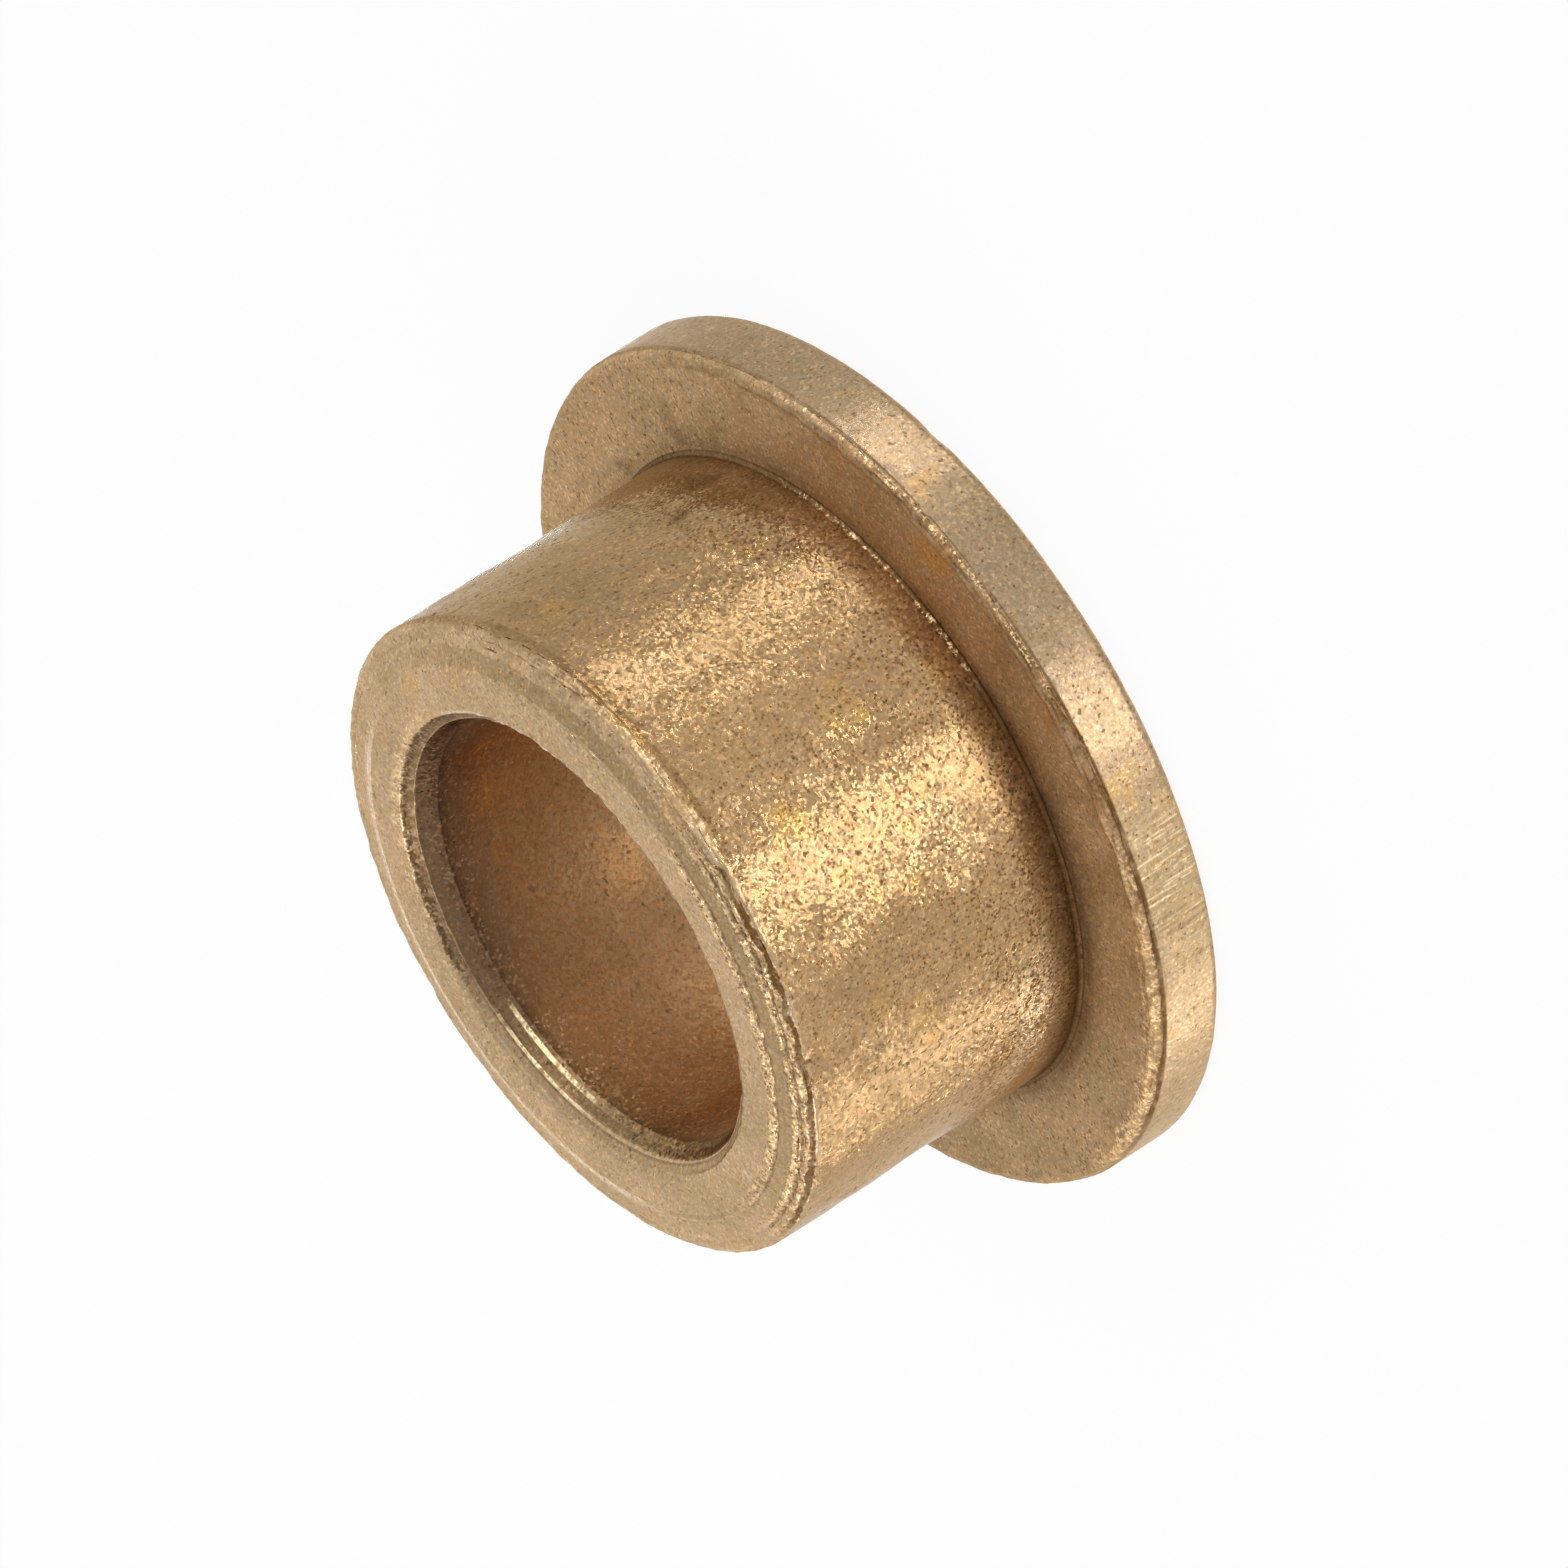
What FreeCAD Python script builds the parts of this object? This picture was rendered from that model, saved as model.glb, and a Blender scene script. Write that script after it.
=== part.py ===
"""Flanged plain bushing, pressed from sintered bronze in one piece.

All sizes are in millimetres. The flange stands on Z = 0 and the bore runs along +Z,
from the flange's outer face to the sleeve's free end. The section is drawn once, on
the right of the axis, and turned a full circle.
"""
import math
import os

import FreeCAD
import Part

os.makedirs("parts", exist_ok=True)

# Main sizes.
bore_diameter = 8.0
sleeve_diameter = 12.0
flange_diameter = 15.9
flange_thickness = 1.4
overall_length = 7.4

# Flange: rounded edges, and the fillet where the sleeve rises from it.
flange_seat_edge_radius = 0.2
flange_outer_edge_radius = 0.25
root_fillet_radius = 0.12

# Free end, from the sleeve's outside inwards: a rounded corner, a narrow lip left by
# the press tool, a shallow bevel, and the flat ring the bushing is measured to.
end_corner_width = 0.12
end_corner_drop = 0.20
lip_width = 0.20
lip_rise = 0.09
bevel_width = 0.43
bevel_rise = 0.11

# Mouth of the bore at the free end: two bevels that lead a shaft in.
mouth_first_width = 0.21
mouth_first_depth = 0.17
mouth_second_width = 0.15
mouth_second_depth = 0.25
mouth_last_width = 0.06
mouth_last_depth = 0.14

# Mouth of the bore at the flange: a plain bevel.
flange_mouth_width = 0.30
flange_mouth_depth = 0.30

bore_radius = bore_diameter / 2
sleeve_radius = sleeve_diameter / 2
flange_radius = flange_diameter / 2


def point(radius, height):
    """A point of the section, from its distance to the axis and its height."""
    return FreeCAD.Vector(radius, 0, height)


def line(start, end):
    """A straight edge of the section."""
    return Part.makeLine(start, end)


def quarter_arc(start, centre, radius, middle_angle, end):
    """A round of the section that passes through its middle at the stated angle."""
    angle = math.radians(middle_angle)
    middle = centre + point(radius * math.cos(angle), radius * math.sin(angle))
    return Part.Arc(start, middle, end).toShape()


# Flange, from the bore's lower mouth out to the rim and back in to the sleeve.
flange_mouth_inner = point(bore_radius, flange_mouth_depth)
flange_mouth_outer = point(bore_radius + flange_mouth_width, 0)
outer_edge_centre = point(flange_radius - flange_outer_edge_radius, flange_outer_edge_radius)
outer_edge_start = point(flange_radius - flange_outer_edge_radius, 0)
outer_edge_end = point(flange_radius, flange_outer_edge_radius)
seat_edge_centre = point(flange_radius - flange_seat_edge_radius, flange_thickness - flange_seat_edge_radius)
seat_edge_start = point(flange_radius, flange_thickness - flange_seat_edge_radius)
seat_edge_end = point(flange_radius - flange_seat_edge_radius, flange_thickness)
fillet_centre = point(sleeve_radius + root_fillet_radius, flange_thickness + root_fillet_radius)
fillet_start = point(sleeve_radius + root_fillet_radius, flange_thickness)
fillet_end = point(sleeve_radius, flange_thickness + root_fillet_radius)

# Free end, from the sleeve's outside in to the bore.
lip_height = overall_length - bevel_rise - lip_rise
corner_start = point(sleeve_radius, lip_height - end_corner_drop)
corner_end = point(sleeve_radius - end_corner_width, lip_height)
corner_middle = point(
    sleeve_radius - end_corner_width * (1 - math.cos(math.radians(45))),
    lip_height - end_corner_drop * (1 - math.sin(math.radians(45))),
)
lip_inner = point(corner_end.x - lip_width, lip_height + lip_rise)
flat_outer = point(lip_inner.x - bevel_width, overall_length)

mouth_last_radius = bore_radius + mouth_last_width
mouth_second_radius = mouth_last_radius + mouth_second_width
mouth_first_radius = mouth_second_radius + mouth_first_width
flat_inner = point(mouth_first_radius, overall_length)
mouth_first_end = point(mouth_second_radius, overall_length - mouth_first_depth)
mouth_second_end = point(mouth_last_radius, mouth_first_end.z - mouth_second_depth)
mouth_last_end = point(bore_radius, mouth_second_end.z - mouth_last_depth)

section_edges = [
    line(flange_mouth_inner, flange_mouth_outer),
    line(flange_mouth_outer, outer_edge_start),
    quarter_arc(outer_edge_start, outer_edge_centre, flange_outer_edge_radius, -45, outer_edge_end),
    line(outer_edge_end, seat_edge_start),
    quarter_arc(seat_edge_start, seat_edge_centre, flange_seat_edge_radius, 45, seat_edge_end),
    line(seat_edge_end, fillet_start),
    quarter_arc(fillet_start, fillet_centre, root_fillet_radius, 225, fillet_end),
    line(fillet_end, corner_start),
    Part.Arc(corner_start, corner_middle, corner_end).toShape(),
    line(corner_end, lip_inner),
    line(lip_inner, flat_outer),
    line(flat_outer, flat_inner),
    line(flat_inner, mouth_first_end),
    line(mouth_first_end, mouth_second_end),
    line(mouth_second_end, mouth_last_end),
    line(mouth_last_end, flange_mouth_inner),
]

section = Part.Face(Part.Wire(section_edges))
bushing = section.revolve(FreeCAD.Vector(0, 0, 0), FreeCAD.Vector(0, 0, 1), 360)

bushing.exportStep(os.path.join("parts", "bushing.step"))
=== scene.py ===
"""Looks of a flanged plain bushing in sintered bronze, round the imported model's frame."""
import math

import bpy
import numpy as np
from mathutils import Matrix, Vector


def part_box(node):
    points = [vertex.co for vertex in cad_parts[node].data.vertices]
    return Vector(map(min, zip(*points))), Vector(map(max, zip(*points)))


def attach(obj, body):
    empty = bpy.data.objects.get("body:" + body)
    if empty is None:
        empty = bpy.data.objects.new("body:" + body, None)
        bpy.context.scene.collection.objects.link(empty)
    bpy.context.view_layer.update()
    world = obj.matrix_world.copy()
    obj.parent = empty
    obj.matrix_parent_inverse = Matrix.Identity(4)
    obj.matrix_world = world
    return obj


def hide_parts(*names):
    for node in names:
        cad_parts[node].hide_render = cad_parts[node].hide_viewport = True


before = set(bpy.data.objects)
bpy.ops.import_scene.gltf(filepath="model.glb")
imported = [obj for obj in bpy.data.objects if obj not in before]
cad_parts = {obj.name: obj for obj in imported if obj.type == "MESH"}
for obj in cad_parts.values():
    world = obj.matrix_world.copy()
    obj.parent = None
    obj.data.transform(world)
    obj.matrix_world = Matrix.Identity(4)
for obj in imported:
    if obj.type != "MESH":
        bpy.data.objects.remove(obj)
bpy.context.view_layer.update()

MM = 0.001

# The section's main sizes, in millimetres. The flange's radius and the length come from the frame.
_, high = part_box("bushing")
FLANGE_R = round(high.x / MM, 2)
LENGTH = round(high.z / MM, 2)
SLEEVE_R = 6.0
BORE_R = 4.0

# The mesh: facets round the axis, and how far it stays inside the solid before and after the
# relief, in millimetres.
SECTORS = 528
SKIN = 0.006
INSET = 0.003

# Rounded corners of the section: the half angle from which a corner counts as straight, and the
# share of an edge that one rounding may take.
STRAIGHT = math.radians(88)
SHARE = 0.45

# Relief, in millimetres: the raggedness up to which an edge is even all round, and how far the
# lip may spread past the sleeve.
EVEN = 0.007
SPREAD_LIMIT = 0.03

# Powder: facets per millimetre, depth of the bumps in metres, and the solid core of a spot (a stain or a painted
# glow) as a share of its size.
FACET_SCALE = 21.0
BUMP_DEPTH = 2.1e-6
CORE = 0.35

# Camera, fitted to the photograph: the object's origin is at these pixels of a 1568 pixel square.
IMAGE_PX = 1568
FOCAL_PX = 23996.7
CAMERA_DISTANCE = 400.0
TILT = math.radians(64.126)
ROLL = math.radians(147.656)
ORIGIN_OFFSET = (2.0569, -0.8768)
SENSOR = 36.0

# Small dents: angle, radius, height, depth, size.
NICKS = [
    (308, FLANGE_R, 1.30, 0.05, 0.07),
    (299.5, FLANGE_R, 0.0, 0.035, 0.30),
    (7.8, 6.29, 1.37, 0.05, 0.05),
    (15.5, 5.56, 7.27, 0.04, 0.08),
    (205, 5.95, 7.05, 0.06, 0.10),
    (232, 5.97, 7.0, 0.05, 0.12),
    (279, 5.96, 7.0, 0.05, 0.09),
    (120, FLANGE_R, 1.28, 0.04, 0.10),
    (47, FLANGE_R, 0.1, 0.05, 0.14),
    (84, 5.95, 7.1, 0.05, 0.12),
    (146, 5.3, 7.38, 0.03, 0.09),
]

# Stains, and in the bore painted orange glow: angle, radius, height, size, strength.
OCHRE_AND_GLOW = [
    (268, 6.0, 5.65, 0.48, 0.70),
    (250, 6.0, 4.00, 0.26, 0.45),
    (251, 6.0, 4.85, 0.34, 0.35),
    (275, 6.0, 3.60, 0.28, 0.40),
    (233, 6.0, 5.50, 0.40, 0.30),
    (323, 6.0, 5.90, 0.34, 0.40),
    (261, 7.42, 1.38, 0.42, 0.60),
    (288, 7.42, 1.38, 0.60, 1.00),
    (307, 7.42, 1.38, 0.45, 0.65),
    (358, 5.00, 7.40, 0.32, 0.80),
    # These three, at radius 4.0 in the bore, are painted orange glow of reflected light.
    (44, 4.00, 5.75, 0.50, 0.42),
    (60, 4.00, 5.95, 0.30, 0.45),
    (82, 4.00, 3.90, 0.70, 0.35),
    (20, 6.0, 4.20, 0.50, 0.60),
    (105, 6.0, 3.10, 0.60, 0.60),
    (160, 6.0, 5.20, 0.45, 0.70),
]
BROWN = [
    (331, 6.0, 2.05, 0.34, 0.90),
    (335, 6.0, 2.40, 0.55, 0.40),
    (328, 6.0, 3.00, 0.24, 0.75),
    (346, 6.6, 1.38, 0.60, 0.40),
    (8, 6.35, 1.38, 0.26, 0.50),
    (297, 6.0, 6.75, 0.16, 0.55),
    (62, 6.0, 2.60, 0.22, 0.60),
    (128, 6.0, 4.40, 0.18, 0.60),
    (20, 6.9, 1.38, 0.20, 0.50),
]

# Lamps: name, azimuth, elevation, width, height, radiance. All stand at one distance.
LAMP_DISTANCE = 120
LAMPS = [
    ("lamp_right", 250, -20, 44, 70, 3.1),
    ("lamp_top", 329, -20, 31, 70, 2.9),
    ("lamp_left", 168, -20, 34, 70, 1.9),
    ("lamp_behind", 90, -20, 60, 60, 1.6),
    ("lamp_over", 150, 50, 60, 60, 2.3),
    ("lamp_near", 313, 18, 40, 46, 2.4),
]


# ---- Section ----
def section():
    """Corners of the section: radius, height, rounding, spacing of the rings that follow, raggedness."""
    rim = FLANGE_R - SKIN
    sleeve = SLEEVE_R - SKIN
    return [
        (BORE_R + SKIN, 0.30, 0.05, 0.14, 0.003),
        (4.30, 0.0, 0.05, 0.60, 0.003),
        (rim, 0.0, 0.20, 0.16, 0.005),
        (rim, 1.20, 0.02, 0.02, 0.008),
        (7.900, 1.235, 0.015, 0.02, 0.012),
        (7.915, 1.285, 0.015, 0.03, 0.024),
        (7.865, 1.365, 0.03, 0.03, 0.026),
        (7.75, 1.396, 0.03, 0.04, 0.020),
        (7.62, 1.380, 0.03, 0.12, 0.008),
        (sleeve, 1.372, 0.07, 0.03, 0.004),
        (sleeve, 1.56, 0.01, 0.20, 0.004),
        (sleeve, 6.92, 0.02, 0.04, 0.006),
        (5.992, 7.07, 0.02, 0.02, 0.018),
        (5.945, 7.095, 0.01, 0.02, 0.020),
        (5.925, 7.135, 0.01, 0.02, 0.026),
        (5.87, 7.195, 0.02, 0.025, 0.030),
        (5.80, 7.212, 0.02, 0.025, 0.026),
        (5.735, 7.205, 0.01, 0.02, 0.018),
        (5.675, 7.245, 0.015, 0.025, 0.020),
        (5.62, 7.275, 0.02, 0.025, 0.014),
        (5.57, 7.278, 0.01, 0.09, 0.006),
        (5.30, 7.335, 0.01, 0.02, 0.006),
        (5.270, 7.338, 0.01, 0.02, 0.010),
        (5.240, 7.375, 0.015, 0.025, 0.016),
        (5.12, LENGTH - INSET, 0.02, 0.10, 0.006),
        (4.47, LENGTH - INSET, 0.03, 0.04, 0.006),
        (4.385, 7.375, 0.015, 0.03, 0.014),
        (4.34, 7.315, 0.01, 0.04, 0.014),
        (4.218, 7.213, 0.01, 0.02, 0.006),
        (4.200, 7.212, 0.01, 0.03, 0.008),
        (4.070, 6.985, 0.02, 0.03, 0.004),
        (BORE_R + SKIN, 6.86, 0.02, 0.50, 0.003),
    ]


def rounded(before, corner, after, radius, steps):
    """Points of an arc that rounds one corner of the section."""
    p, a, b = np.array(corner), np.array(before), np.array(after)
    u = (a - p) / np.linalg.norm(a - p)
    v = (b - p) / np.linalg.norm(b - p)
    half = math.acos(float(np.clip(u @ v, -1, 1))) / 2
    if half > STRAIGHT:
        return [p]
    reach = radius / math.tan(half)
    reach = min(reach, SHARE * np.linalg.norm(a - p), SHARE * np.linalg.norm(b - p))
    start, end = p + u * reach, p + v * reach
    centre = p + (u + v) / np.linalg.norm(u + v) * reach / math.cos(half)
    size = np.linalg.norm(start - centre)
    points = []
    for k in range(steps + 1):
        t = k / steps
        chord = start * (1 - t) + end * t
        ray = chord - centre
        points.append(centre + ray / np.linalg.norm(ray) * size)
    return points


def rings():
    """Radius, height and raggedness of every ring of the mesh, in order round the section."""
    corners = section()
    count = len(corners)
    arcs = []
    for i, (r, z, radius, _, _) in enumerate(corners):
        before, after = corners[i - 1][:2], corners[(i + 1) % count][:2]
        steps = 5 if radius >= 0.12 else (2 if radius >= 0.03 else 1)
        arcs.append(rounded(before, (r, z), after, radius, steps))
    points, ragged = [], []
    for i in range(count):
        here, there = corners[i][4], corners[(i + 1) % count][4]
        points.extend(arcs[i])
        ragged.extend([here] * len(arcs[i]))
        start, end = arcs[i][-1], arcs[(i + 1) % count][0]
        pieces = max(1, round(float(np.linalg.norm(end - start)) / corners[i][3]))
        for k in range(1, pieces):
            points.append(start + (end - start) * k / pieces)
            ragged.append(here + (there - here) * k / pieces)
    return np.array(points), np.array(ragged)


# ---- Relief ----
class Noise:
    """Seeded smooth noise in space, with a spread of about one."""

    GAIN = 3.6

    def __init__(self, seed):
        rng = np.random.RandomState(seed)
        self.order = rng.permutation(256)
        slopes = rng.normal(size=(256, 3))
        self.slopes = slopes / np.linalg.norm(slopes, axis=1, keepdims=True)

    def at(self, place):
        cell = np.floor(place).astype(int)
        part = place - cell
        ease = part ** 3 * (part * (part * 6 - 15) + 10)
        total = np.zeros(place.shape[:-1])
        for corner in np.ndindex(2, 2, 2):
            key = (cell + corner) & 255
            pick = self.order[(self.order[key[..., 0]] + key[..., 1]) & 255]
            pick = self.order[(pick + key[..., 2]) & 255]
            lean = (self.slopes[pick] * (part - corner)).sum(axis=-1)
            weight = np.prod(np.where(corner, ease, 1 - ease), axis=-1)
            total += lean * weight
        return total * self.GAIN


def smooth(value, start, end):
    """A soft step from 0 at start to 1 at end."""
    t = np.clip((value - start) / (end - start), 0, 1)
    return t * t * (3 - 2 * t)


def on_ring(angle, radius, height):
    """A point in millimetres, from its angle in degrees."""
    turn = math.radians(angle)
    return np.array([radius * math.cos(turn), radius * math.sin(turn), height])


def relief(r, z, turn, around, rough_side, ragged):
    """How far the skin stands out from the plain section at every point, in millimetres."""
    place = np.stack([r * np.cos(turn), r * np.sin(turn), z], axis=-1)
    fine = Noise(11).at(place * 5.3) * 0.5 + Noise(12).at(place * 2.6) * 0.6 + Noise(13).at(place * 1.1) * 0.4
    patches = smooth(Noise(33).at(around * 1.7), 0.3, 1.0)
    worn = 0.12 + 0.88 * np.maximum(rough_side, 0.15 * patches)
    edges = np.where(ragged > EVEN, ragged, 0.0)[:, None] * fine * worn
    push = edges + np.minimum(ragged, EVEN)[:, None] * fine * 0.6

    # Shallow waves on the sleeve and on the flange's face.
    outside = smooth(z, 1.7, 2.6) * (1 - smooth(z, 6.6, 6.95)) * smooth(r, 5.6, 5.9)
    push += outside * (0.018 * Noise(21).at(place * 0.62) + 0.0095 * Noise(22).at(place * 1.7) - 0.006)
    face = (1 - smooth(z, 1.42, 1.6)) * smooth(r, 6.1, 6.4) * (1 - smooth(r, 7.5, 7.6))
    push += face * 0.006 * Noise(23).at(place * 1.1)

    for angle, radius, height, depth, size in NICKS:
        gap = np.linalg.norm(place - on_ring(angle, radius, height), axis=-1)
        push -= depth * np.exp(-(gap / size) ** 2)
    return push


def build_bushing():
    """The bushing's mesh: the section's rings, turned round the axis, with the relief of the pressing."""
    ring, ragged = rings()
    turn = np.linspace(0, 2 * math.pi, SECTORS, endpoint=False)
    degrees = np.degrees(turn)
    around = np.stack([np.cos(turn), np.sin(turn), np.zeros(SECTORS)], axis=-1)
    along = np.roll(ring, -1, axis=0) - np.roll(ring, 1, axis=0)
    along /= np.linalg.norm(along, axis=1, keepdims=True)
    out_r, out_z = along[:, 1][:, None], -along[:, 0][:, None]
    r = np.repeat(ring[:, 0][:, None], SECTORS, axis=1)
    z = np.repeat(ring[:, 1][:, None], SECTORS, axis=1)

    rough_side = smooth(degrees, 175, 215) * (1 - smooth(degrees, 325, 350))
    push = relief(r, z, turn, around, rough_side, ragged)

    # The lip wanders up and down, spreads outwards on one side and sinks lower beside that.
    lip = smooth(z, 6.86, 7.03) * smooth(r, 5.58, 5.75)
    wander = 0.025 * Noise(31).at(around * 2.3) + 0.015 * Noise(32).at(around * 9.0)
    wander = wander * (0.08 + 0.92 * rough_side)
    spread = 0.06 * smooth(degrees, 262, 274) * (1 - smooth(degrees, 312, 326))
    lower = 0.12 * smooth(degrees, 266, 300) * (1 - smooth(degrees, 340, 358))
    z = z + out_z * push + smooth(z, 6.5, 6.95) * smooth(r, 5.3, 5.75) * (lip * wander - lower)
    r = r + out_r * push + lip * spread

    # No point leaves the solid's box, and the sleeve's outside stays close to its radius.
    sleeve_side = (z > 2) & (r > 5)
    r = np.where(sleeve_side, np.minimum(r, SLEEVE_R + SPREAD_LIMIT), r)
    r = np.clip(r, BORE_R, FLANGE_R - INSET)
    z = np.clip(z, 0.0, LENGTH)

    co = np.stack([r * np.cos(turn), r * np.sin(turn), z], axis=-1) * MM
    rows, cols = co.shape[:2]
    a = np.arange(rows * cols).reshape(rows, cols)
    b = np.roll(a, -1, axis=1)
    c = np.roll(b, -1, axis=0)
    d = np.roll(a, -1, axis=0)
    faces = np.stack([a, b, c, d], axis=-1).reshape(-1, 4)
    mesh = bpy.data.meshes.new("bushing_dressed")
    mesh.from_pydata(co.reshape(-1, 3).tolist(), [], faces.tolist())
    mesh.shade_smooth()
    mesh.update()
    piece = bpy.data.objects.new("bushing_dressed", mesh)
    bpy.context.scene.collection.objects.link(piece)
    print("rings", rows, "triangles", len(faces) * 2)
    return piece


# ---- Material ----
class Nodes:
    """Short calls for making and joining the nodes of one material."""

    def __init__(self, material):
        material.use_nodes = True
        self.tree = material.node_tree
        self.tree.nodes.clear()

    def add(self, kind, inputs=None, **settings):
        node = self.tree.nodes.new(kind)
        for name, value in settings.items():
            setattr(node, name, value)
        for name, value in (inputs or {}).items():
            self.set(node, name, value)
        return node

    def set(self, node, name, value):
        socket = node.inputs[name]
        if isinstance(value, bpy.types.NodeSocket):
            self.tree.links.new(value, socket)
        else:
            socket.default_value = tuple(value) if isinstance(value, np.ndarray) else value

    def math(self, operation, a, b=0.0):
        return self.add("ShaderNodeMath", {0: a, 1: b}, operation=operation).outputs[0]

    def chain(self, operation, values):
        total = values[0]
        for value in values[1:]:
            total = self.math(operation, total, value)
        return total

    def times(self, *values):
        return self.chain("MULTIPLY", values)

    def plus(self, *values):
        return self.chain("ADD", values)

    def most(self, *values):
        return self.chain("MAXIMUM", values)

    def least(self, *values):
        return self.chain("MINIMUM", values)

    def rest(self, value):
        """What is left of 1."""
        return self.math("SUBTRACT", 1.0, value)

    def vector(self, operation, a, b=None, scale=None):
        node = self.add("ShaderNodeVectorMath", {0: a}, operation=operation)
        if b is not None:
            self.set(node, 1, b)
        if scale is not None:
            self.set(node, "Scale", scale)
        return node.outputs["Value"] if operation in ("DOT_PRODUCT", "DISTANCE") else node.outputs[0]

    def remap(self, value, start, end, at_start=0.0, at_end=1.0, soft=True):
        """A step between two numbers while the value goes from start to end. Either may be larger."""
        inputs = {"Value": value, "From Min": start, "From Max": end, "To Min": at_start, "To Max": at_end}
        node = self.add("ShaderNodeMapRange", inputs)
        node.interpolation_type = "SMOOTHSTEP" if soft else "LINEAR"
        return node.outputs["Result"]

    def window(self, value, start, end, edge):
        """1 between start and end, falling to 0 over the width of the edge on either side."""
        return self.times(self.remap(value, start - edge, start), self.remap(value, end + edge, end))

    def noise(self, vector, scale, detail=2.0, roughness=0.5):
        inputs = {"Vector": vector, "Scale": scale, "Detail": detail, "Roughness": roughness}
        return self.add("ShaderNodeTexNoise", inputs).outputs["Fac"]

    def mix(self, factor, a, b, blend="MIX"):
        """Mixes two colours. The node's sockets 6 and 7 are its colours."""
        node = self.add("ShaderNodeMix", data_type="RGBA", blend_type=blend)
        self.set(node, 0, factor)
        self.set(node, 6, a)
        self.set(node, 7, b)
        return node.outputs[2]

    def tinted(self, colour, tint):
        return self.mix(1.0, colour, tint, "MULTIPLY")

    def layers(self, colour, *coats):
        """Lays coats over a colour, each given by how much of it shows and by its own colour."""
        for amount, coat in coats:
            colour = self.mix(amount, colour, coat)
        return colour

    def blend(self, factor, a, b):
        """Mixes two numbers."""
        return self.add("ShaderNodeMix", {0: factor, 2: a, 3: b}, data_type="FLOAT").outputs[0]

    def by_zone(self, value, *zones):
        """A number that becomes another in each zone, given by the zone's mask and the number there."""
        for mask, there in zones:
            value = self.blend(mask, value, there)
        return value


def rgb(r, g, b):
    return (r, g, b, 1)


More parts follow.
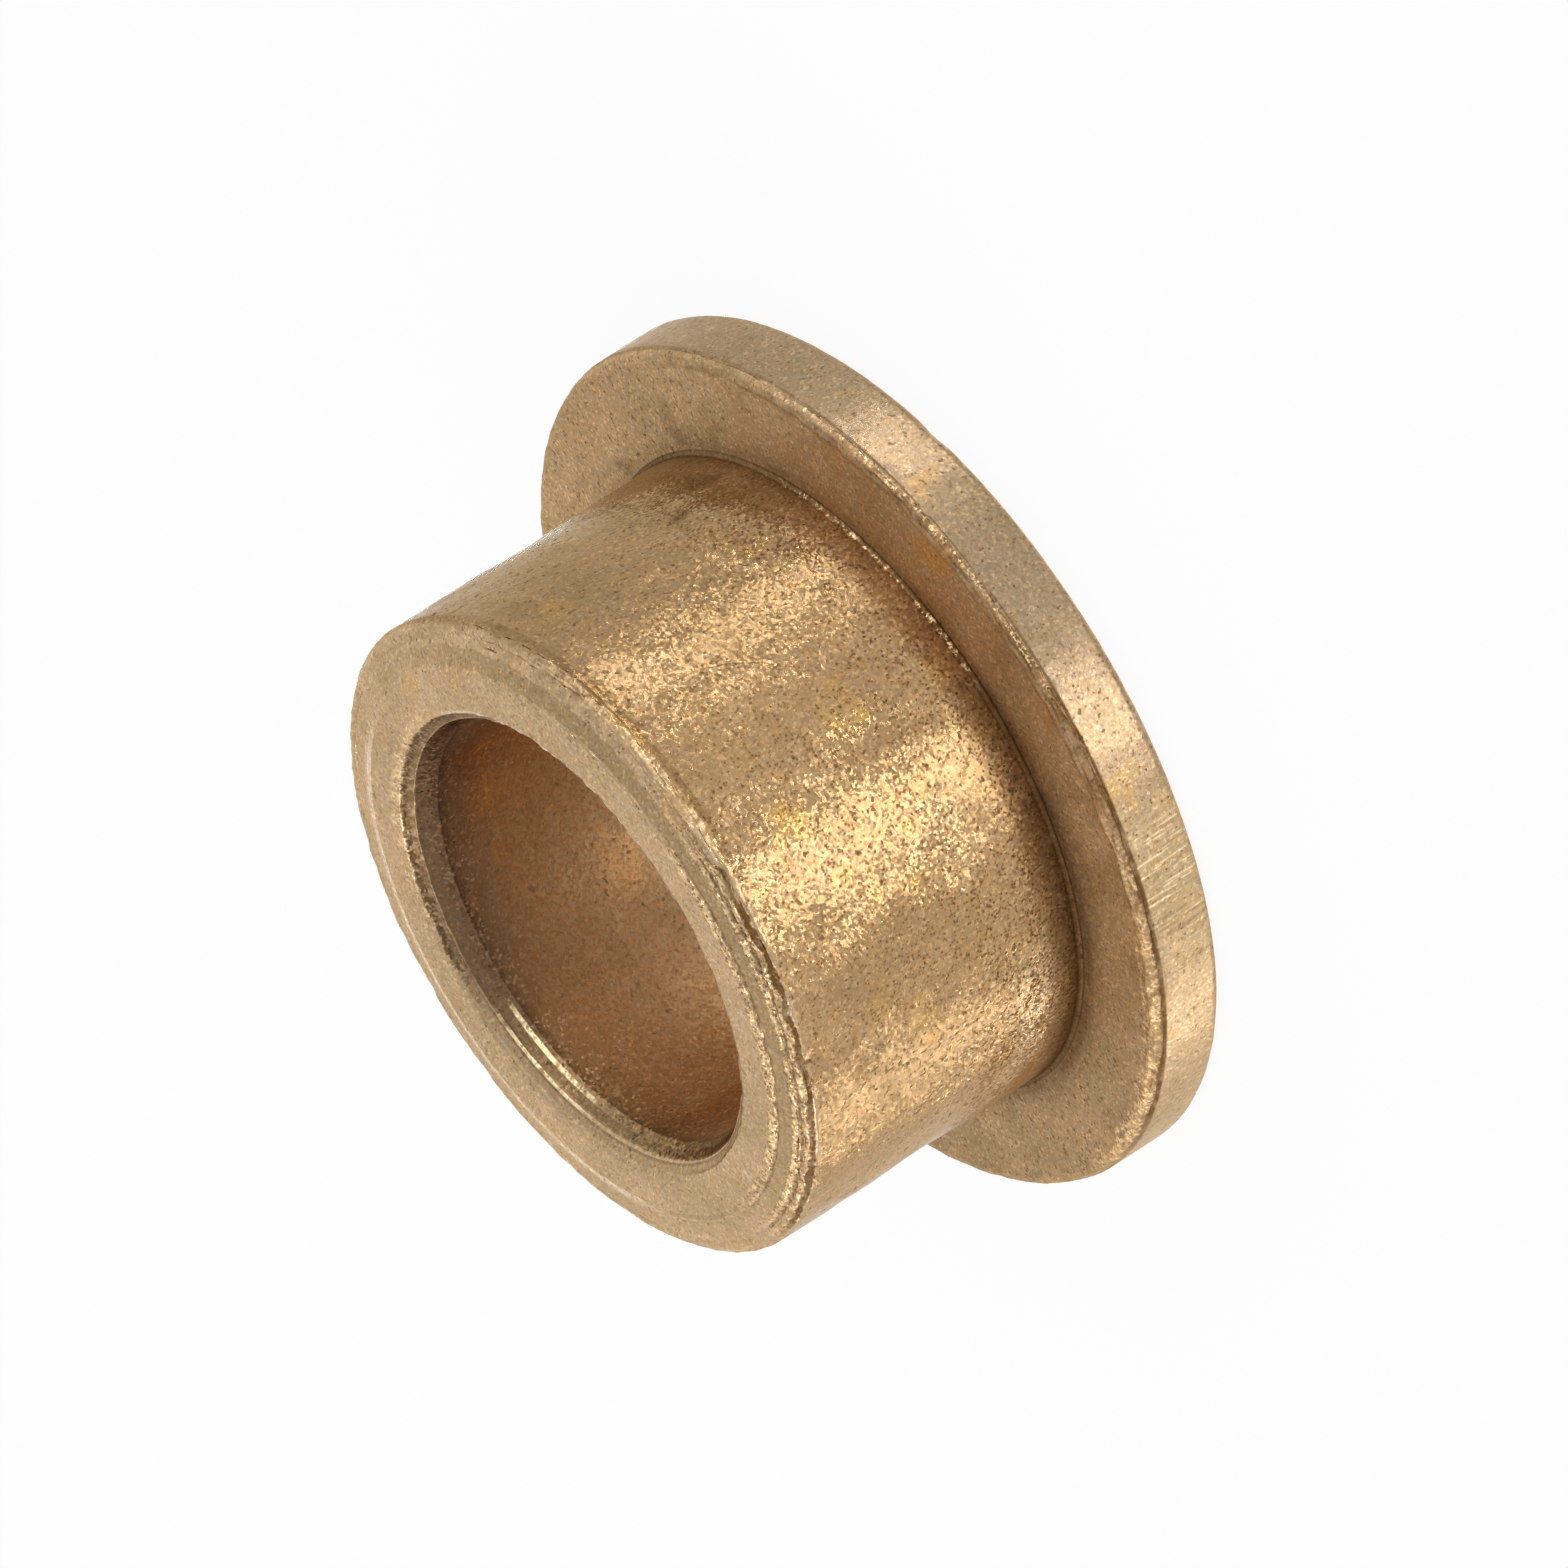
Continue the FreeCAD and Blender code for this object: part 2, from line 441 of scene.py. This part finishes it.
class Surface(Nodes):
    """Places, zones and noises of the bushing's skin. Lengths are in millimetres, angles in degrees."""

    def __init__(self, material):
        super().__init__(material)
        place = self.add("ShaderNodeTexCoord").outputs["Object"]
        self.mm = self.vector("SCALE", place, scale=1 / MM)
        self.x, self.y, self.z = self.add("ShaderNodeSeparateXYZ", {0: self.mm}).outputs
        self.r = self.math("POWER", self.plus(self.times(self.x, self.x), self.times(self.y, self.y)), 0.5)
        outwards = self.add("ShaderNodeCombineXYZ", {0: self.x, 1: self.y}).outputs[0]
        self.flat = self.vector("NORMALIZE", outwards)
        self.find_zones()
        self.make_powder()

    def ring(self, start, end, edge):
        """A ring between two radii."""
        return self.window(self.r, start, end, edge)

    def wavy(self, start, end, edge):
        """A ring between two radii, with an uneven edge."""
        return self.window(self.edge, start, end, edge)

    def level(self, start, end, edge):
        """A band between two heights."""
        return self.window(self.z, start, end, edge)

    def toward(self, angle, outer, inner, low=0.0, high=1.0):
        """A mask round the axis: high within `inner` degrees of the angle, low beyond `outer`."""
        turn = math.radians(angle)
        lean = self.vector("DOT_PRODUCT", self.flat, (math.cos(turn), math.sin(turn), 0.0))
        return self.remap(lean, math.cos(math.radians(outer)), math.cos(math.radians(inner)), low, high)

    def facing(self, east, north):
        """How far a point lies to one side of the axis, from -1 to 1."""
        return self.math("DIVIDE", self.plus(self.times(self.x, east), self.times(self.y, north)), self.r)

    def spots(self, place, marks):
        """Soft marks on the surface, each given by angle, radius, height, size and strength."""
        total = 0.0
        for angle, radius, height, size, strength in marks:
            gap = self.vector("DISTANCE", place, on_ring(angle, radius, height))
            total = self.plus(total, self.remap(gap, size, size * CORE, 0.0, strength))
        return total

    def find_zones(self):
        """Masks of the zones of the section, and of the sides where its lines are sharp and take painted
        highlights and shade, and where the mouth's bevel takes painted shade.
        """
        self.bore = self.times(self.remap(self.r, 4.16, 4.04), self.remap(self.z, 7.15, 6.9))
        self.rim = self.times(self.remap(self.r, 7.88, 7.93), self.remap(self.z, 1.30, 1.27))
        self.flange = self.times(self.remap(self.r, 6.02, 6.10), self.remap(self.z, 1.55, 1.45),
                                 self.rest(self.rim))
        self.end = self.times(self.remap(self.z, 7.0, 7.1), self.remap(self.r, 4.02, 4.20))
        self.first = self.times(self.ring(4.215, 4.345, 0.025), self.remap(self.z, 7.10, 7.20))
        self.top = self.remap(self.z, 6.92, 7.0)
        self.far = self.toward(35, 62, 38)
        # The side with sharp lines, where painted highlights and shade fall on the free end.
        self.keen_side_and_painted_light = self.toward(230, 54, 32, 0.06, 1.0)
        ridges = self.plus(self.ring(5.08, 5.24, 0.03), self.ring(5.57, 5.94, 0.03))
        self.ridge = self.times(ridges, self.top, self.keen_side_and_painted_light)

    def make_powder(self):
        """Noises of the powder: its facets and pores, and the slow drifts of its colour."""
        inputs = {"Vector": self.mm, "Scale": 0.75, "Detail": 3.0, "Roughness": 0.58}
        drift = self.add("ShaderNodeTexNoise", inputs).outputs["Color"]
        self.broad = self.add("ShaderNodeSeparateColor", {"Color": drift}).outputs
        shift = self.vector("SUBTRACT", drift, (0.5, 0.5, 0.5))
        self.bent = self.vector("ADD", self.mm, self.vector("SCALE", shift, scale=1.1))
        inputs = {"Vector": self.mm, "Scale": FACET_SCALE, "Randomness": 1.0}
        self.facets = self.add("ShaderNodeTexVoronoi", inputs).outputs
        self.grain = self.add("ShaderNodeSeparateColor", {"Color": self.facets["Color"]}).outputs[2]
        self.fine = self.noise(self.mm, 17.0, 1.0, 0.7)
        self.middle = self.noise(self.mm, 5.5, 1.5, 0.6)
        self.patch = self.noise(self.mm, 2.6, 2.0)
        self.pore = self.remap(self.noise(self.mm, 8.5, 1.5, 0.65), 0.61, 0.70)
        self.chip = self.times(self.remap(self.middle, 0.40, 0.56),
                               self.remap(self.grain, 0.10, 0.55, 0.30, 1.0))
        self.edge = self.plus(self.r, self.times(self.math("SUBTRACT", self.middle, 0.5), 0.10))


def leaning_normal(n):
    """The normal, tipped by each facet of the powder, and turned up a little above the flange."""
    amount = n.by_zone(1.0, (n.flange, 0.8), (n.rim, 0.45), (n.end, 0.7), (n.bore, 0.8), (n.ridge, 1.7))
    calm = n.times(n.remap(n.z, 1.7, 3.0, 0.14, 0.29),
                   n.toward(342, 36, 16, 1.0, 0.62), n.toward(186, 22, 10, 1.0, 0.62))
    rise = n.times(n.remap(n.z, 3.6, 2.2, 0.0, 0.10), n.remap(n.r, 5.8, 5.9), n.remap(n.z, 1.75, 2.15),
                   n.toward(338, 40, 20, 1.0, 0.3))
    flare = n.add("ShaderNodeCombineXYZ", {2: rise}).outputs[0]
    upright = n.add("ShaderNodeNewGeometry").outputs["Normal"]
    lean = n.vector("SUBTRACT", n.facets["Color"], (0.5, 0.5, 0.5))
    lean = n.vector("SCALE", lean, scale=n.times(amount, calm))
    return n.vector("NORMALIZE", n.vector("ADD", n.vector("ADD", upright, flare), lean))


def zone_colour(n):
    """The colour of each zone, with painted light and shade: the flange and rim lighter or darker by side, the
    flange lighter towards 285°, shade round the sleeve's foot, the sleeve's foot paler on two sides, and the bore
    lighter on one side and darker near its mouth.
    """
    # Painted light and shade: the flange's face lighter and the rim darker on the side towards 332°.
    side = n.remap(n.facing(0.88, -0.47), -0.7, 0.7)
    colour = n.mix(n.remap(n.broad[0], 0.38, 0.64), rgb(0.395, 0.251, 0.124), rgb(0.440, 0.279, 0.138))
    colour = n.mix(n.flange, colour, n.mix(side, rgb(0.425, 0.290, 0.162), rgb(0.520, 0.358, 0.198)))
    mottle = n.mix(n.remap(n.broad[0], 0.38, 0.62), rgb(0.91, 0.90, 0.87), rgb(1.08, 1.07, 1.05))
    # Painted light: the flange's face lighter towards 285°, where it reflects the sleeve.
    lift = n.times(n.flange, n.toward(285, 62, 25), 0.55)
    # Painted shade round the foot of the sleeve, strongest towards 215°.
    foot = n.times(n.remap(n.r, 6.9, 6.0), n.remap(n.z, 2.1, 1.55), n.toward(215, 55, 25, 0.32, 0.80))
    # Painted light: the sleeve just above the flange paler towards 185° and 350°, against the flange's reflection.
    painted_paler_foot = n.times(n.remap(n.z, 3.2, 2.2), n.remap(n.z, 1.5, 1.8),
                    n.plus(n.toward(185, 50, 25), n.toward(350, 38, 22, 0.0, 0.4)), 0.55)
    warm = n.times(n.remap(n.z, 2.2, 1.6), n.remap(n.broad[1], 0.42, 0.62), n.toward(290, 60, 30), 0.35)
    # Painted shade: the rim darker towards 332°, by the side mask above.
    rim_colour = n.mix(side, rgb(0.480, 0.336, 0.194), rgb(0.350, 0.246, 0.148))
    end_colour = n.mix(n.remap(n.broad[1], 0.40, 0.60), rgb(0.485, 0.338, 0.196), rgb(0.545, 0.378, 0.222))
    # Painted light in the bore: lighter towards 141°, and darker near its mouth towards 25° by the shade below.
    lit = n.remap(n.facing(-0.78, 0.62), 0.55, 1.0)
    bore_colour = n.mix(lit, rgb(0.410, 0.248, 0.124), rgb(0.560, 0.350, 0.178))
    shade = n.times(n.bore, n.remap(n.z, 5.6, 6.8), n.toward(25, 80, 40), 0.8)
    return n.layers(
        colour,
        (n.flange, n.tinted(colour, mottle)),
        (lift, rgb(0.600, 0.425, 0.260)),
        (foot, rgb(0.290, 0.186, 0.104)),
        (n.least(painted_paler_foot, 1.0), rgb(0.500, 0.375, 0.240)),
        (warm, rgb(0.520, 0.310, 0.150)),
        (n.rim, rim_colour),
        (n.end, end_colour),
        (n.bore, bore_colour),
        (shade, rgb(0.285, 0.190, 0.120)),
    )


def stains_and_glow(n, colour):
    """Ochre and brown stains, painted orange glow of reflected light in the bore, and olive patches."""
    drifts = n.times(n.remap(n.broad[2], 0.60, 0.70), 0.35)
    ochre_and_glow = n.times(n.plus(drifts, n.spots(n.bent, OCHRE_AND_GLOW)), n.remap(n.patch, 0.36, 0.56, 0.45, 1.0))
    ochre_and_glow_colour = n.layers(
        rgb(0.560, 0.335, 0.090),
        (n.flange, rgb(0.600, 0.355, 0.150)),
        # In the bore the spots are painted orange glow.
        (n.bore, rgb(0.620, 0.305, 0.105)),
    )
    brown = n.times(n.spots(n.bent, BROWN), n.remap(n.patch, 0.35, 0.55, 0.6, 1.0))
    # Painted glow of reflected light in the bore.
    glow = n.times(n.remap(n.broad[1], 0.56, 0.70), n.bore, 0.3)
    colour = n.layers(
        colour,
        (n.least(ochre_and_glow, 0.9), ochre_and_glow_colour),
        (brown, rgb(0.190, 0.112, 0.055)),
        (glow, rgb(0.50, 0.270, 0.115)),
    )
    olive = n.times(n.remap(n.broad[2], 0.52, 0.40), 0.5)
    return n.mix(olive, colour, n.tinted(colour, rgb(0.86, 0.87, 0.80)))


def free_end(n, colour):
    """The outer bevel darker and browner (painted shade), the mouth's two bevels with painted shade, and the fine
    lines round both: dark ones of painted shade, pale ones of painted highlight.
    """
    # Painted shade: the outer bevel darker and browner, most towards 272°.
    bevel_shade = n.times(n.wavy(5.29, 5.56, 0.02), n.top, n.toward(272, 95, 55, 0.15, 0.60))
    # Painted shade on the mouth's first bevel: dark and speckled on its far side.
    speckled_shade = n.mix(n.chip, rgb(0.130, 0.072, 0.032), rgb(0.200, 0.132, 0.078))
    first_colour = n.mix(n.far, rgb(0.425, 0.290, 0.165), speckled_shade)
    # Painted shade on the mouth's second bevel, lighter towards 150°.
    second = n.times(n.remap(n.r, 4.205, 4.185), n.remap(n.z, 6.62, 6.95))
    second_colour = n.mix(n.toward(150, 50, 25), rgb(0.155, 0.090, 0.048), rgb(0.330, 0.210, 0.108))
    # Dark lines and specks in the mouth: painted shade. The bright line towards 152°: painted highlight.
    seam = n.times(n.ring(4.225, 4.250, 0.012), n.remap(n.z, 7.10, 7.18), n.remap(n.far, 1.0, 0.0), 0.45)
    gully = n.times(n.ring(4.090, 4.150, 0.015), n.remap(n.z, 6.90, 6.98), n.toward(150, 72, 50), 0.75)
    brink = n.times(n.ring(4.178, 4.205, 0.008), n.remap(n.z, 7.05, 7.12), n.toward(152, 42, 28), 0.55)
    specks = n.times(n.wavy(4.295, 4.365, 0.02), n.remap(n.z, 7.20, 7.25), n.far,
                     n.remap(n.grain, 0.75, 0.45), 0.75)
    # Pale lines round the flat's outer edge towards 85°: painted highlight. The dark line towards 171°: painted
    # shade.
    pale = n.times(n.plus(n.ring(5.11, 5.21, 0.02), n.times(n.ring(5.21, 5.32, 0.04), 0.45)), n.top,
                   n.toward(85, 72, 50), n.remap(n.middle, 0.30, 0.55, 0.50, 0.85))
    trough = n.times(n.ring(5.125, 5.185, 0.03), n.top, n.toward(171, 28, 15), 0.45)
    return n.layers(
        colour,
        (bevel_shade, rgb(0.350, 0.238, 0.118)),
        (n.times(n.first, 0.85), first_colour),
        (second, second_colour),
        (seam, rgb(0.180, 0.105, 0.050)),
        (gully, rgb(0.200, 0.125, 0.062)),
        (brink, rgb(0.620, 0.450, 0.260)),
        (specks, rgb(0.110, 0.060, 0.026)),
        (n.least(pale, 0.85), rgb(0.800, 0.640, 0.490)),
        (trough, rgb(0.270, 0.190, 0.115)),
    )


def rim_scratched(n, colour):
    """Scratches along the axis where the rim is worn."""
    streaks = n.noise(n.vector("MULTIPLY", n.mm, (1.0, 1.0, 0.06)), 15.0, 1.0)
    worn = n.times(n.rim, n.toward(236, 14, 6), n.remap(streaks, 0.36, 0.62, 0.35, 0.75))
    scored = n.times(n.remap(streaks, 0.39, 0.33), n.rim, n.toward(233, 13, 7), 0.30)
    bared = n.times(n.remap(streaks, 0.62, 0.66), n.rim, n.toward(237, 9, 5), 0.85)
    return n.layers(
        colour,
        (worn, rgb(0.640, 0.455, 0.245)),
        (scored, rgb(0.230, 0.145, 0.078)),
        (bared, rgb(0.900, 0.690, 0.420)),
    )


def sleeve_scratched(n, colour):
    """A few scratches on the sleeve, all arcs round one point, with one bright line among them."""
    waver = n.times(n.math("SUBTRACT", n.middle, 0.5), 0.05)
    arc = n.plus(n.vector("DISTANCE", n.mm, on_ring(274.3, SLEEVE_R, 5.84)), waver)
    area = n.spots(n.mm, [(294, SLEEVE_R, 4.62, 1.0, 0.8)])
    cuts = n.plus(n.window(arc, 2.378, 2.390, 0.014), n.times(n.window(arc, 2.298, 2.306, 0.012), 0.6),
                  n.times(n.window(arc, 2.470, 2.478, 0.012), 0.7))
    bright = n.times(n.window(arc, 2.408, 2.416, 0.012), area, 0.5)
    return n.layers(
        colour,
        (n.times(cuts, area), rgb(0.190, 0.105, 0.048)),
        (bright, rgb(0.640, 0.430, 0.220)),
    )


def crease_shaded(n, colour):
    """Painted shade in the grooves, along the edge of the seat, and where the sleeve rises from the flange."""
    # Painted shade: darker lines in the free end's grooves, at the mouth's edge, under the lip, at the seat's edge
    # and round the foot of the sleeve, each on the side where shade falls.
    grooves = n.plus(n.times(n.wavy(5.262, 5.285, 0.014), 0.7), n.times(n.wavy(5.705, 5.735, 0.016), 0.8),
                     n.wavy(5.900, 5.950, 0.016))
    hem = n.times(n.ring(4.385, 4.44, 0.015), n.toward(245, 50, 35), 0.7)
    belt = n.times(n.level(6.84, 6.93, 0.06), n.remap(n.r, 5.8, 5.9), n.toward(302, 34, 22), 0.5)
    notch = n.times(n.remap(n.r, 7.82, 7.88), n.level(1.215, 1.275, 0.05), n.toward(229, 44, 28, 0.30, 1.0))
    under = n.times(n.ring(7.83, 7.95, 0.04), n.level(1.27, 1.38, 0.02), n.toward(266, 42, 26), 0.45)
    shoulder = n.times(n.ring(7.70, 7.90, 0.05), n.level(1.31, 1.42, 0.02), n.toward(288, 58, 40), 0.3)
    root = n.times(n.ring(5.9, 6.05, 0.38), n.remap(n.z, 2.10, 1.42), n.toward(222, 75, 40, 0.30, 0.72))
    ends = n.times(n.plus(n.times(grooves, n.keen_side_and_painted_light), hem), n.top)
    crease_shade = n.times(n.plus(ends, belt, notch, under, shoulder, root), n.remap(n.patch, 0.35, 0.60, 0.55, 0.95))
    # Painted shade, darkest, in the crease at the foot of the sleeve.
    fold = n.times(n.ring(5.975, 6.075, 0.02), n.remap(n.z, 1.50, 1.44), n.toward(318, 40, 18, 0.85, 0.60))
    return n.layers(
        colour,
        (n.least(crease_shade, 0.92), rgb(0.145, 0.070, 0.022)),
        (fold, rgb(0.100, 0.048, 0.016)),
    )


def polished_and_highlit_edges(n):
    """Edges left bare and bright by the tool, made lighter as painted highlights on the sides where light falls.
    """
    # Polished wear and painted highlight: bright broken lines on the free end, the seat's bead and the sleeve's
    # foot, each on one side only.
    lines = n.plus(n.wavy(5.10, 5.235, 0.02), n.wavy(5.59, 5.665, 0.02), n.wavy(5.79, 5.87, 0.02))
    golden = n.times(n.wavy(4.43, 4.56, 0.06), n.toward(32, 38, 20), 0.65)
    blobs = n.times(n.level(6.99, 7.10, 0.02), n.remap(n.r, 5.86, 5.90), n.toward(292, 24, 16))
    ends = n.times(n.plus(n.times(lines, n.keen_side_and_painted_light), golden, blobs), n.top)
    broken = n.remap(n.fine, 0.44, 0.58)
    seat_blobs = n.times(n.level(1.26, 1.33, 0.02), n.remap(n.r, 7.80, 7.86), n.toward(292, 31, 21), broken)
    bead = n.times(n.wavy(7.60, 7.89, 0.07), n.level(1.29, 1.42, 0.02), n.toward(213, 42, 18),
                   n.remap(n.fine, 0.38, 0.60, 0.30, 0.90))
    foot_blobs = n.times(n.wavy(6.00, 6.035, 0.02), n.level(1.36, 1.46, 0.02), n.toward(297, 28, 18), broken)
    return n.least(n.times(n.plus(ends, seat_blobs, bead, foot_blobs), n.chip), 1.0)


def brightened(n, colour, polish_and_highlight):
    """The colour of the bare edges with their painted highlights, two painted highlights in the mouth, and a
    painted cool reflection at its edge.
    """
    # Painted highlights: two golden lines in the mouth towards 111°.
    shine = n.times(n.toward(111, 20, 6), n.remap(n.middle, 0.36, 0.50, 0.25, 1.0),
                    n.remap(n.grain, 0.05, 0.45, 0.45, 1.0))
    glint = n.times(n.plus(n.ring(4.180, 4.215, 0.008), n.ring(4.045, 4.075, 0.010)),
                    n.remap(n.z, 6.90, 6.94), shine)
    # Painted reflection: a pale cool line at the mouth's edge towards 316°.
    cool = n.times(n.ring(4.385, 4.435, 0.015), n.top, n.toward(316, 42, 26), 0.60)
    return n.layers(
        colour,
        (polish_and_highlight, rgb(0.840, 0.580, 0.305)),
        (glint, rgb(0.980, 0.790, 0.460)),
        (cool, rgb(0.760, 0.630, 0.530)),
    )


def grained(n, colour):
    """Warm and cool grains, dark dots and open pores, and the sleeve darker on one side."""
    inner = n.most(n.end, n.bore)
    tint = n.mix(n.remap(n.middle, 0.36, 0.64), rgb(1.025, 0.985, 0.93), rgb(0.98, 1.01, 1.05))
    # The sleeve up to a fifth darker towards 330°, above the flange.
    darker_side = n.times(n.remap(n.facing(0.87, -0.50), 0.70, 0.95, 0.0, 0.20), n.remap(n.z, 1.5, 2.2), n.rest(inner))
    bright = n.times(n.remap(n.grain, 0.86, 0.95), n.blend(n.bore, 0.22, 0.40))
    light_grain = n.plus(n.remap(n.grain, 0.0, 1.0, 0.85, 1.12, soft=False), bright)
    speck = n.times(n.remap(n.fine, 0.30, 0.72, 0.90, 1.16, soft=False), light_grain, n.rest(darker_side))
    speck = n.add("ShaderNodeCombineColor", {0: speck, 1: speck, 2: speck}).outputs[0]
    crowd = n.times(n.remap(n.facing(-0.50, -0.87), 0.60, 0.95, 0.30, 1.0),
                    n.remap(n.broad[0], 0.36, 0.58, 0.5, 1.0), n.remap(n.z, 6.6, 4.6, 0.55, 1.0))
    crowd = n.by_zone(crowd, (n.flange, 0.13), (n.rim, 0.18), (inner, 0.12), (n.ridge, 1.3))
    dots = n.times(n.remap(n.math("SUBTRACT", n.grain, n.times(crowd, 0.24)), 0.02, -0.03),
                   n.remap(n.facets["Distance"], 0.62, 0.30), 0.62)
    deep = n.blend(n.most(n.rim, n.flange, inner), 0.60, 0.28)
    return n.layers(
        n.tinted(n.tinted(colour, tint), speck),
        (dots, rgb(0.125, 0.054, 0.016)),
        (n.times(n.pore, deep), rgb(0.115, 0.050, 0.014)),
    )


def roughness(n, polish_and_highlight):
    """How matt the bronze is: glossy on the sleeve and the free end, matt on the flange's face."""
    matt = n.remap(n.z, 2.3, 1.7, 0.25, 0.46)
    matt = n.by_zone(matt, (n.flange, 0.56), (n.rim, 0.34), (n.end, 0.30), (n.most(n.bore, n.first), 0.44))
    drift = n.times(n.math("SUBTRACT", n.broad[0], 0.5), 0.25)
    return n.plus(matt, n.times(n.pore, 0.3), n.times(polish_and_highlight, -0.08), drift)


def bronze():
    """Sintered bronze: facets of the powder, open pores, and tints by zone of the section, with painted light and
    shade in its colour.
    """
    material = bpy.data.materials.new("sintered_bronze")
    n = Surface(material)
    polish_and_highlight = polished_and_highlit_edges(n)
    colour = zone_colour(n)
    for coat in (stains_and_glow, free_end, rim_scratched, crease_shaded, sleeve_scratched):
        colour = coat(n, colour)
    colour = grained(n, brightened(n, colour, polish_and_highlight))

    height = n.times(n.plus(n.fine, n.times(n.middle, 1.2), n.times(n.pore, -0.7)), n.blend(n.rim, 1.0, 0.45))
    inputs = {"Height": height, "Strength": 1.0, "Distance": BUMP_DEPTH, "Normal": leaning_normal(n)}
    bump = n.add("ShaderNodeBump", inputs).outputs[0]
    shader = n.add("ShaderNodeBsdfPrincipled", {
        "Base Color": colour,
        "Metallic": 1.0,
        "Roughness": roughness(n, polish_and_highlight),
        "Normal": bump,
        "Specular Tint": rgb(0.95, 0.85, 0.72),
    })
    n.add("ShaderNodeOutputMaterial", {"Surface": shader.outputs[0]})
    return material


# ---- Stage ----
def place_camera():
    """Puts the camera where the photograph was taken from."""
    axis = Vector((math.sin(TILT) * math.cos(ROLL), math.sin(TILT) * math.sin(ROLL), -math.cos(TILT)))
    across = Vector((-math.sin(ROLL), math.cos(ROLL), 0.0))
    up = axis.cross(across)
    right, down, away = [Vector((across[i], up[i], axis[i])) for i in range(3)]
    data = bpy.data.cameras.new("camera")
    data.sensor_width = SENSOR
    data.lens = FOCAL_PX / IMAGE_PX * SENSOR
    camera = bpy.data.objects.new("camera", data)
    place = -(right * ORIGIN_OFFSET[0] + down * ORIGIN_OFFSET[1] + away * CAMERA_DISTANCE) * MM
    turn = Matrix((right, -down, -away)).transposed()
    camera.matrix_world = Matrix.Translation(place) @ turn.to_4x4()
    bpy.context.scene.collection.objects.link(camera)
    bpy.context.scene.camera = camera


def softbox(name, azimuth, elevation, width, height, radiance):
    """A rectangular lamp that faces the object. Angles are in degrees, lengths in millimetres."""
    data = bpy.data.lights.new(name, "AREA")
    data.shape = "RECTANGLE"
    data.size = width * MM
    data.size_y = height * MM
    data.energy = radiance * math.pi * data.size * data.size_y
    data.cycles.use_multiple_importance_sampling = False
    az, el = math.radians(azimuth), math.radians(elevation)
    direction = Vector((math.cos(el) * math.cos(az), math.cos(el) * math.sin(az), math.sin(el)))
    lamp = bpy.data.objects.new(name, data)
    lamp.location = direction * LAMP_DISTANCE * MM + Vector((0, 0, LENGTH / 2 * MM))
    lamp.rotation_euler = (-direction).to_track_quat("-Z", "Y").to_euler()
    lamp.visible_camera = False
    bpy.context.scene.collection.objects.link(lamp)


def make_floor():
    """A plain white floor under the flange. It keeps the object's shadow. Lengths are in metres."""
    size = 2.0
    drop = 0.00002
    whiteness = 0.91
    mesh = bpy.data.meshes.new("floor")
    mesh.from_pydata([(-size, -size, 0), (size, -size, 0), (size, size, 0), (-size, size, 0)], [], [(0, 1, 2, 3)])
    floor = bpy.data.objects.new("floor", mesh)
    floor.location.z = -drop
    material = bpy.data.materials.new("floor_white")
    n = Nodes(material)
    path = n.add("ShaderNodeLightPath").outputs
    seen = n.most(path["Is Glossy Ray"], path["Is Transmission Ray"], path["Is Camera Ray"])
    matt = n.add("ShaderNodeBsdfDiffuse", {"Color": rgb(0.85, 0.85, 0.85)})
    white = n.add("ShaderNodeEmission", {"Color": rgb(1, 1, 1), "Strength": 1.0})
    inputs = {0: n.times(seen, whiteness), 1: matt.outputs[0], 2: white.outputs[0]}
    n.add("ShaderNodeOutputMaterial", {"Surface": n.add("ShaderNodeMixShader", inputs).outputs[0]})
    mesh.materials.append(material)
    floor.visible_shadow = False
    bpy.context.scene.collection.objects.link(floor)


def light():
    """White surroundings, a little dimmer overhead, and soft lamps that give the bright bands along the sleeve."""
    world = bpy.data.worlds.new("world")
    world.use_nodes = True
    tree = world.node_tree
    back = tree.nodes["Background"]
    back.inputs["Color"].default_value = rgb(1, 1, 1)
    where = tree.nodes.new("ShaderNodeTexCoord")
    parts = tree.nodes.new("ShaderNodeSeparateXYZ")
    fade = tree.nodes.new("ShaderNodeMapRange")
    fade.interpolation_type = "SMOOTHSTEP"
    for name, value in (("From Min", 0.5), ("From Max", 0.95), ("To Min", 1.0), ("To Max", 0.75)):
        fade.inputs[name].default_value = value
    tree.links.new(where.outputs["Generated"], parts.inputs[0])
    tree.links.new(parts.outputs["Z"], fade.inputs["Value"])
    tree.links.new(fade.outputs["Result"], back.inputs["Strength"])
    bpy.context.scene.world = world
    for lamp in LAMPS:
        softbox(*lamp)


scene = bpy.context.scene
scene.view_settings.view_transform = "Standard"
bushing = build_bushing()
bushing.data.materials.append(bronze())
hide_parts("bushing")
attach(bushing, "root")
make_floor()
light()
place_camera()
